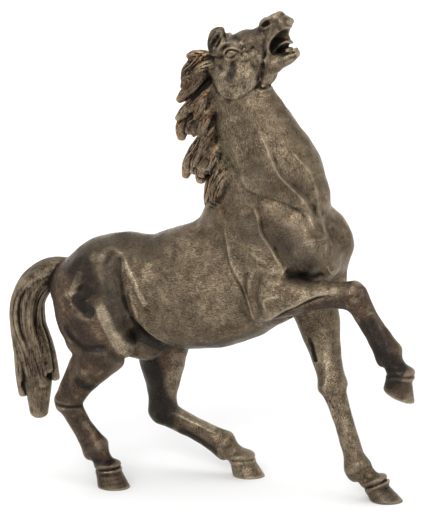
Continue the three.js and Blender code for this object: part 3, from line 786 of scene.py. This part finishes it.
def hoof(clay, shape):
    """A hoof: walls that lean in from a round sole, with faint rings, under a raised band of hair."""
    top, bottom = np.array(shape["joints"][3], float), np.array(shape["sole"], float)
    forward = unit(shape["toe"])
    down = -np.cross(forward, ACROSS)
    height = (bottom - top) @ down - 1
    start = top + down
    cut, grid = clay.window(start - HOOF_REACH, start + HOOF_REACH)
    ahead, aside, below = turned(grid, start, (forward, ACROSS, down))
    t = np.clip(below / height, 0, 1)
    shift = ((bottom - start) @ forward) * t
    length, width = (high + (low - high) * t for high, low in zip(HOOF_TOP, HOOF_SOLE))
    from_band = below - shape["lean"] * (ahead - shift)
    band = np.exp(-((from_band / HOOF_BAND[0]) ** 2)) * HOOF_BAND[1]
    rings = HOOF_RINGS[1] * np.sin(from_band * HOOF_RINGS[0])
    length = np.where(ahead < shift, HEEL_SHORTER * length, length)
    across = np.hypot((ahead - shift) / length, aside / width)
    wall = (across - 1) * width * WALL_STEEPNESS - band - rings
    distance = np.maximum(np.maximum(wall, -1 - from_band), below - height)
    clay.add(cut, distance, 0.8)


def crest(t):
    """A point of the mane's root line, from the poll at 0 to the withers at 1."""
    top, bend, foot = (np.array(p, float) for p in (CREST_TOP, CREST_BEND, CREST_FOOT))
    middle = 2 * bend - (top + foot) / 2
    x, z = (1 - t) ** 2 * top + 2 * t * (1 - t) * middle + t**2 * foot
    return np.array([x, 0, z])


def strands_of(k, fewest, more, kinds, depth, turn):
    """The strands of lock number k: more on one lock than on the next, and turned the other way."""
    return fewest + more * (k % kinds), depth, -turn if k % 2 else turn


def lock(clay, root, long, heading, end, bow, half, lean, strands, profile=LOCK_PROFILE, seam=0.7):
    """A lock of hair whose heading turns evenly from root to tip, with a bow added halfway."""
    steps = 24
    t = (np.arange(steps) + 0.5) / steps
    turn = np.radians(heading + (end - heading) * t + bow * np.sin(np.pi * t))
    moves = np.stack([np.cos(turn), np.full(steps, lean), np.sin(turn)], 1) * long / steps
    points = np.vstack([root, root + np.cumsum(moves, 0)])[::2]
    share = half * np.interp(np.linspace(0, 1, len(points)), *profile)
    loft(clay, np.column_stack([points, share, share * LOCK_FLATNESS]), seam, 2, strands)


def skin(clay, x, z):
    """How far out the right side's skin lies at a place seen from the side."""
    column = clay.field[np.searchsorted(clay.axes[0], x), :, np.searchsorted(clay.axes[2], z)]
    return clay.axes[1][np.argmax(column < 0)]


def mane(clay):
    """The mane's bed, its locks on the far side and on the near one, and slighter locks over those."""
    loft(clay, MANE_BED, 1.5)
    far = FAR_MANE
    for k in range(far["count"]):
        root = crest((k + 0.5) / far["count"]) + far["start"]
        sway = far["wave"] * (1 if k % 2 else -1)
        heading = far["heading"] + sway
        lock(clay, root, far["long"], heading, far["end"], -sway, far["half"], far["lean"], far["strands"])
    for k, (at, long, heading, end, bow, half, lean) in enumerate(NEAR_MANE):
        root = crest(at) + (2, 12 * lean, 0)
        lock(clay, root, long, heading, end, bow, half, lean, strands_of(k, *MANE_STRANDS))
    for k, (at, long, heading, end, bow, half, ahead, end_aside) in enumerate(OVER_MANE):
        root = crest(at) + (ahead, 0, 0)
        root[1] = skin(clay, root[0], root[2]) + 0.3 * half
        lean = (end_aside - root[1]) / long
        strands = strands_of(k, *OVER_MANE_STRANDS)
        lock(clay, root, long, heading, end, bow, half, lean, strands, WISP_PROFILE, 1.6)


def tail_places(t, across):
    """Where the tail is at t along it and across its spread, and half its spread there."""
    line = smooth(TAIL_LINE, 12)
    place = t * (len(line) - 1)
    whole = np.minimum(place.astype(int), len(line) - 2)
    ahead = line[whole + 1] - line[whole]
    middle = line[whole] + ahead * (place - whole)[:, None]
    ahead = ahead / np.linalg.norm(ahead, axis=1)[:, None]
    spread = np.interp(t, np.linspace(0, 1, len(TAIL_SPREAD)), TAIL_SPREAD)
    x = middle[:, 0] - spread * across * ahead[:, 1]
    z = middle[:, 1] + spread * across * ahead[:, 0]
    return x, z, spread


def swell(t, start, slope):
    """Grows evenly from start until it is whole."""
    return np.minimum(1, start + slope * t)


def tail(clay):
    """The locks of the tail keep their place in its spread while they follow its middle line."""
    steps = np.linspace(0, 1, 17)
    for k, (across, across_tip, aside, end, half) in enumerate(TAIL):
        place = across + (across_tip - across) * steps**2 * (3 - 2 * steps)
        x, z, spread = tail_places(steps * end, place)
        share = half * swell(steps, 0.55, 2.2) * swell(1 - steps, 0.62, 2.6)
        y = spread * TAIL_THICKNESS * aside * swell(1 - end * steps, 0.3, 2.2)
        rings = np.column_stack([x, y, z, share, 0.9 * share])
        loft(clay, rings, 0.7, 2, strands_of(k, *TAIL_STRANDS))
    for side in (-1, 1):
        for k, (start, end, half, across) in enumerate(OVER_TAIL):
            place = np.interp(steps, np.linspace(0, 1, len(across)), across)
            x, z, spread = tail_places(start + (end - start) * steps, place)
            aside = 0.62 * spread * np.sqrt(np.maximum(0.1, 1 - (place / 1.4) ** 2)) + 2.4
            y = side * aside * swell(1 - start - (end - start) * steps, 0.3, 2.2)
            share = half * np.interp(steps, *WISP_PROFILE)
            rings = np.column_stack([x, y, z, share, 0.8 * share])
            loft(clay, rings, 1, 2, strands_of(k, *OVER_TAIL_STRANDS))


def both_sides(clay, rows, carve=False):
    """The same bulges or hollows on the right side and on the left."""
    for side in (-1, 1):
        for (x, y, z), halves, along, seam in rows:
            bulge(clay, (x, side * y, z), halves, along, seam, carve)


def head(clay):
    """The head thrown up with its mouth open, its far side closed by a web behind the tongue."""
    bulge(clay, *MOUTH_WEB, 1.5)
    for rings in EARS:
        loft(clay, rings, 1)
    both_sides(clay, HEAD_BULGES)
    loft(clay, MOUTH, 0.8, carve=True)
    loft(clay, TONGUE, 0.8)
    both_sides(clay, HEAD_HOLLOWS, carve=True)


def weather(clay, dents, least):
    """Small dents and lumps, as wax and casting leave them, stronger on the head."""
    random = np.random.default_rng(3)
    on_head = np.clip((clay.axes[2] - HEAD_EXTRA["from"]) / HEAD_EXTRA["over"], 0, 1)
    share = least + HEAD_EXTRA["more"] * on_head
    for step, depth in dents:
        lumps = Clay(step)
        lumps.field = random.standard_normal(lumps.field.shape).astype(np.float32)
        clay.field += (depth * share).astype(np.float32) * lumps.finer(clay.step).field


def ribs(clay):
    for k in range(RIBS["count"]):
        x, z = np.add(RIBS["first"], np.multiply(RIBS["step"], k))
        points = [(x, z), (x + RIBS["run"][0], z + RIBS["run"][1])]
        chase(clay, "ridge", RIBS["width"], RIBS["height"], "both", *points, ends=RIB_ENDS)


def horse_clay():
    """The whole horse: broad forms on a rough grid first, then limbs, head, hair and chased lines."""
    clay = Clay(ROUGH_STEP)
    for rings in (TRUNK, NECK, *THIGHS):
        loft(clay, rings, 1.6)
    for middle, halves, along in MUSCLES:
        bulge(clay, middle, halves, along, 1.6)
    clay.soften(3)
    clay = clay.finer(MIDDLE_STEP)
    for shape in LIMBS:
        limb(clay, shape)
    loft(clay, SKULL, 0.8)
    loft(clay, JAW, 0.8)
    both_sides(clay, CHEEKS)
    weather(clay, DENTS, 1)
    clay.soften(2)
    weather(clay, HEAD_DENTS, 0)
    clay = clay.finer(FINE_STEP)
    for shape in LIMBS:
        hoof(clay, shape)
    head(clay)
    for line in LINES:
        chase(clay, *line)
    both_sides(clay, EYEBALLS)
    ribs(clay)
    tail(clay)
    mane(clay)
    sole = clay.axes[2] < STAND[2]
    clay.field[:, :, sole] = np.maximum(clay.field[:, :, sole], STAND[2] - clay.axes[2][sole])
    return clay


def surface(clay):
    """The skin of the clay, where the field is nought, as vertices and four-sided faces."""
    field = clay.field
    inside = field < 0
    count = np.zeros([n - 1 for n in field.shape], np.uint8)
    corners = list(np.ndindex(2, 2, 2))
    for i, j, k in corners:
        count += inside[i : i + count.shape[0], j : j + count.shape[1], k : k + count.shape[2]]
    cells = np.argwhere((count > 0) & (count < 8))
    index = np.full(count.shape, -1, np.int32)
    index[tuple(cells.T)] = np.arange(len(cells))
    values = [field[tuple((cells + corner).T)] for corner in corners]
    total = np.zeros((len(cells), 3))
    crossings = np.zeros((len(cells), 1))
    for a, first in enumerate(corners):
        for b, second in enumerate(corners):
            step = np.subtract(second, first)
            if step.sum() != 1 or step.min() < 0:
                continue
            crosses = (values[a] < 0) != (values[b] < 0)
            gap = np.where(crosses, values[a] - values[b], 1)
            place = first + (values[a] / gap)[:, None] * step
            total += np.where(crosses[:, None], place, 0)
            crossings += crosses[:, None]
    origin = np.array([axis[0] for axis in clay.axes])
    vertices = origin + (cells + total / crossings) * clay.step
    faces = []
    for d in range(3):
        e, g = (d + 1) % 3, (d + 2) % 3
        low = [slice(1, -1)] * 3
        high = [slice(1, -1)] * 3
        low[d], high[d] = slice(0, -1), slice(1, None)
        edges = np.argwhere(inside[tuple(low)] != inside[tuple(high)])
        edges[:, [e, g]] += 1
        back_e, back_g = np.eye(3, dtype=int)[[e, g]]
        around = (edges, edges - back_e, edges - back_e - back_g, edges - back_g)
        quads = np.stack([index[tuple(cell.T)] for cell in around], 1)
        inward = ~inside[tuple(edges.T)]
        quads[inward] = quads[inward][:, ::-1]
        faces.append(quads)
    return vertices, np.vstack(faces)


def put_in(name, data):
    """Puts a new object in the scene."""
    thing = bpy.data.objects.new(name, data)
    bpy.context.scene.collection.objects.link(thing)
    return thing


def mesh_of(vertices, quads):
    mesh = bpy.data.meshes.new("horse_cast")
    mesh.vertices.add(len(vertices))
    mesh.vertices.foreach_set("co", vertices.astype(np.float32).ravel())
    mesh.loops.add(quads.size)
    mesh.loops.foreach_set("vertex_index", quads.astype(np.int32).ravel())
    mesh.polygons.add(len(quads))
    mesh.polygons.foreach_set("loop_start", np.arange(0, quads.size, 4, dtype=np.int32))
    mesh.update(calc_edges=True)
    return mesh


def cast(clay):
    """The horse as one mesh piece, thinned to the triangles allowed."""
    vertices, quads = surface(clay)
    piece = put_in("horse_cast", mesh_of((vertices - STAND) / 1000, quads))
    thin = piece.modifiers.new("thin", "DECIMATE")
    thin.ratio = min(1, MOST_TRIANGLES / (2 * len(quads)))
    shown = piece.evaluated_get(bpy.context.evaluated_depsgraph_get())
    piece.data = bpy.data.meshes.new_from_object(shown)
    piece.modifiers.clear()
    piece.data.shade_smooth()
    return piece


def mark(mesh, name, values):
    """Keeps a number for each vertex, which the material reads."""
    attribute = mesh.attributes.new(name, "FLOAT", "POINT")
    attribute.data.foreach_set("value", np.asarray(values, np.float32))


def hair_share(x, z):
    """How much of a place is hair: all of it behind the mane's roots and in the tail."""
    roots = np.array([crest(t) for t in np.linspace(1, 0, 9)])
    mane = np.minimum(np.interp(z, roots[:, 2], roots[:, 0]) + MANE_AHEAD - x, z - MANE_FOOT)
    fall = np.where(z > DOCK["height"], DOCK["over"], DOCK["under"]) - x
    return np.clip(np.maximum(mane, fall) / HAIR_BORDER, 0, 1)


def patina_and_painted_light(piece, clay):
    """Marks the crevices, the hair, and the stains together with the painted shade and highlights, on the
    piece.
    """
    mesh = piece.data
    places = np.zeros(len(mesh.vertices) * 3, np.float32)
    mesh.vertices.foreach_get("co", places)
    places = places.reshape(-1, 3) * 1000 + STAND
    for name, passes in CREVICES:
        clay.soften(passes)
        mark(mesh, name, -clay.sample(places))
        clay = clay.coarser()
    x, y, z = places.T
    mark(mesh, "hair", hair_share(x, z))
    stain_and_painted_light = {colour: np.zeros(len(x)) for colour in STAIN_AND_LIGHT_PAINTS}
    for (colour, side), lines in STAINS_AND_PAINTED_LIGHT.items():
        for width, strength, *points in lines:
            away, _ = line_distance(x, z, points)
            share = strength / (1 + np.abs(away / width) ** STAIN_AND_LIGHT_SHARPNESS)
            stain_and_painted_light[colour] = np.maximum(stain_and_painted_light[colour], share * side_share(y, side))
    for colour, shares in stain_and_painted_light.items():
        mark(mesh, colour, shares)


class Nodes:
    """Short calls for the nodes of a material."""

    def __init__(self, name):
        self.material = bpy.data.materials.new(name)
        self.material.use_nodes = True
        self.tree = self.material.node_tree
        self.shader = self.tree.nodes["Principled BSDF"]

    def add(self, kind, inputs, **settings):
        node = self.tree.nodes.new(kind)
        for name, value in settings.items():
            setattr(node, name, value)
        for name, value in inputs.items():
            self.put(node, name, value)
        return node

    def put(self, node, name, value):
        if isinstance(value, bpy.types.NodeSocket):
            self.tree.links.new(value, node.inputs[name])
        else:
            node.inputs[name].default_value = value

    def maths(self, operation, *values):
        return self.add("ShaderNodeMath", dict(enumerate(values)), operation=operation).outputs[0]

    def weigh(self, *terms, plus=0.0):
        """The sum of values, each times its weight."""
        for value, weight in terms:
            plus = self.maths("MULTIPLY_ADD", value, weight, plus)
        return plus

    def noise(self, place, size, detail=2.0, roughness=0.6, stretch=(1, 1, 1), lean=0):
        """Noise with blots about as large as size, pulled out by stretch, and leaning by some degrees."""
        inputs = {
            "Vector": place,
            "Rotation": (0, math.radians(lean), 0),
            "Scale": tuple(1 / part for part in stretch),
        }
        mapped = self.add("ShaderNodeMapping", inputs).outputs[0]
        inputs = {"Vector": mapped, "Scale": 1 / size, "Detail": detail, "Roughness": roughness}
        return self.add("ShaderNodeTexNoise", inputs).outputs["Fac"]

    def attribute(self, name):
        return self.add("ShaderNodeAttribute", {}, attribute_name=name).outputs["Fac"]

    def fit(self, value, low, high):
        """Value taken from the range low to high onto 0 to 1."""
        ranges = {"Value": value, "From Min": low, "From Max": high}
        return self.add("ShaderNodeMapRange", ranges).outputs[0]

    def mix(self, share, under, over):
        node = self.add("ShaderNodeMix", {"Factor": share}, data_type="RGBA")
        for place, colour in ((6, under), (7, over)):
            self.put(node, place, (*colour, 1) if isinstance(colour, tuple) else colour)
        return node.outputs[2]


def chasing(n, place, height):
    """The graver's short strokes, along the barrel and down the neck and legs, with specks between."""
    along = n.noise(place, STROKE, stretch=(4, 1, 1), lean=15)
    down = n.noise(place, STROKE, stretch=(1, 1, 4), lean=-15)
    upright = n.fit(n.maths("ABSOLUTE", n.maths("SUBTRACT", height, BARREL_MIDDLE)), *BARREL_EDGE)
    strokes = n.add("ShaderNodeMix", {"Factor": upright, "A": along, "B": down}).outputs[0]
    return n.weigh((strokes, 0.6), (n.noise(place, SPECK), 0.4))


def hair_tone(n, place, height, raised, blots):
    """Hair: bright threads over dark partings, and rust in the mane, but none in the tail."""
    threads = n.noise(place, THREAD, stretch=(1, 1, 10), lean=12)
    lit = n.fit(n.weigh((threads, 0.6), (raised, 0.5), (blots, 0.5)), 0.18, 0.62)
    mane = n.fit(height, *MANE_HEIGHTS)
    rust = n.maths("MULTIPLY", n.fit(n.noise(place, RUST, 3), 0.46, 0.6), n.weigh((mane, 0.8)))
    on_strands = n.mix(rust, n.mix(mane, TAIL_TONE, MANE_TONE), RUST_TONE)
    return n.mix(lit, n.mix(rust, *HAIR_HOLLOWS), on_strands)


def bronze():
    """Silvered bronze: worn bright on its ridges, brown and black patina in its fine hollows, painted shade
    in its broad hollows, painted shade and highlights among its stains, and fine chasing.
    """
    n = Nodes("silvered_bronze")
    place = n.add("ShaderNodeTexCoord", {}).outputs["Object"]
    height = n.add("ShaderNodeSeparateXYZ", {"Vector": place}).outputs["Z"]
    broad = n.fit(n.noise(place, BROAD), 0.35, 0.65)
    blots = n.weigh((n.noise(place, BLOT, 4, 0.65), 1), plus=-0.5)
    mottles = n.weigh((n.noise(place, MOTTLE, 3), 1), plus=-0.5)
    grain = chasing(n, place, height)
    chased = n.fit(n.weigh((grain, 1), (blots, 0.38), (mottles, 0.1)), 0.39, 0.63)
    hair = n.attribute("hair")
    fine, wide = (n.attribute(name) for name, _ in CREVICES)
    raised = n.weigh((fine, -5), (wide, -0.25))
    worn = n.fit(n.weigh((raised, 1), (blots, 0.9)), 0.1, 0.6)
    # The fine crevices give black patina; the wide ones add painted shade to the broad hollows
    sunk = n.weigh((fine, n.weigh((hair, 3), plus=4)), (wide, 0.8), (blots, -0.7))
    black = n.fit(sunk, 0.14, 0.6)
    ragged = n.weigh((blots, 1.5), (grain, 1), plus=-0.5)

    def stain_and_painted_light(under, name):
        """Lays stains, painted shade and painted highlights over a colour, with edges as ragged as the
        metal is blotchy.
        """
        cover, low, high = STAIN_AND_LIGHT_PAINTS[name]
        spread = n.attribute(name)
        amount = n.fit(n.weigh((spread, 1), (ragged, spread)), 0.3, 0.75)
        return n.mix(n.weigh((amount, cover)), under, n.mix(chased, low, high))

    colour = n.mix(chased, n.mix(broad, *LOW_TONES), n.mix(broad, *HIGH_TONES))
    colour = n.mix(hair, colour, hair_tone(n, place, height, raised, blots))
    colour = stain_and_painted_light(stain_and_painted_light(colour, "brown"), "green")
    colour = n.mix(n.maths("MULTIPLY", worn, n.weigh((hair, -0.35), plus=0.7)), colour, RUBBED)
    # The pale and dark layers hold painted highlights and painted shade as well as real pale and dark
    # patches
    colour = stain_and_painted_light(stain_and_painted_light(colour, "pale"), "dark")
    # Black of the patina in fine crevices, and painted shade in broad hollows
    colour = n.mix(n.weigh((black, 0.95)), colour, BLACK)
    bump = n.add("ShaderNodeBump", {"Height": grain, "Strength": 0.8, "Distance": BUMP})
    n.put(n.shader, "Base Color", colour)
    n.put(n.shader, "Metallic", 0.85)
    n.put(n.shader, "Specular Tint", GRAZING_TINT)
    n.put(n.shader, "Roughness", n.weigh((black, 0.3), (chased, -0.12), plus=0.35))
    n.put(n.shader, "Normal", bump.outputs[0])
    return n.material


def face(thing, azimuth, elevation, distance):
    """Sets a thing at a distance from the origin on one side of it, turned to look at it."""
    turn, rise = math.radians(azimuth), math.radians(elevation)
    way = Vector((math.sin(turn) * math.cos(rise), -math.cos(turn) * math.cos(rise), math.sin(rise)))
    thing.location = way * distance
    thing.rotation_euler = way.to_track_quat("Z", "Y").to_euler()


def view_camera():
    data = bpy.data.cameras.new("camera")
    data.sensor_width = SENSOR
    data.lens = SENSOR * VIEW_DISTANCE / VIEW_HEIGHT
    data.clip_end = 20
    camera = put_in("camera", data)
    face(camera, VIEW_AZIMUTH, VIEW_ELEVATION, VIEW_DISTANCE / 1000)
    camera.location += (Vector(VIEW_MIDDLE) - Vector(STAND)) / 1000
    bpy.context.scene.camera = camera


def studio_floor():
    """A pale round floor whose edge curves up into a backdrop all round."""
    bends = [math.radians(90 * k / FLOOR_BENDS) for k in range(FLOOR_BENDS + 1)]
    edge = [(FLOOR_FLAT + FLOOR_CURVE * math.sin(a), FLOOR_CURVE * (1 - math.cos(a))) for a in bends]
    rings = [(FLOOR_FLAT / 6, 0), (FLOOR_FLAT / 2, 0), *edge, (FLOOR_FLAT + FLOOR_CURVE, FLOOR_TOP)]
    sides = range(FLOOR_SIDES)
    turns = [2 * math.pi * s / FLOOR_SIDES for s in sides]
    points = [(r * math.cos(t), r * math.sin(t), height) for r, height in rings for t in turns]
    faces = [(0, 1 + s, 1 + (s + 1) % FLOOR_SIDES) for s in sides]
    for start in range(1, len(points) - FLOOR_SIDES, FLOOR_SIDES):
        for s in sides:
            a, b = start + s, start + (s + 1) % FLOOR_SIDES
            faces.append((a, a + FLOOR_SIDES, b + FLOOR_SIDES, b))
    mesh = bpy.data.meshes.new("floor")
    mesh.from_pydata([(0, 0, 0), *points], [], faces)
    mesh.shade_smooth()
    floor = put_in("floor", mesh)
    paint = bpy.data.materials.new("floor")
    paint.use_nodes = True
    shader = paint.node_tree.nodes["Principled BSDF"]
    shader.inputs["Base Color"].default_value = (0.9, 0.9, 0.9, 1)
    shader.inputs["Roughness"].default_value = 0.9
    shader.inputs["Specular IOR Level"].default_value = 0.1
    mesh.materials.append(paint)


def studio_light():
    """A white room, with soft light from far off."""
    world = bpy.data.worlds.new("room")
    world.use_nodes = True
    room = world.node_tree.nodes["Background"]
    room.inputs["Color"].default_value = (1, 1, 1, 1)
    room.inputs["Strength"].default_value = ROOM_LIGHT
    bpy.context.scene.world = world
    for name, (azimuth, elevation, strength, spread) in LIGHTS.items():
        data = bpy.data.lights.new(name, "SUN")
        data.energy = strength
        data.angle = math.radians(spread)
        face(put_in(name, data), azimuth, elevation, 3)


bpy.context.scene.view_settings.view_transform = "Standard"
view_camera()
studio_floor()
studio_light()
clay = horse_clay()
horse = cast(clay)
patina_and_painted_light(horse, clay)
horse.data.materials.clear()
horse.data.materials.append(bronze())
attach(horse, "root")
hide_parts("horse")
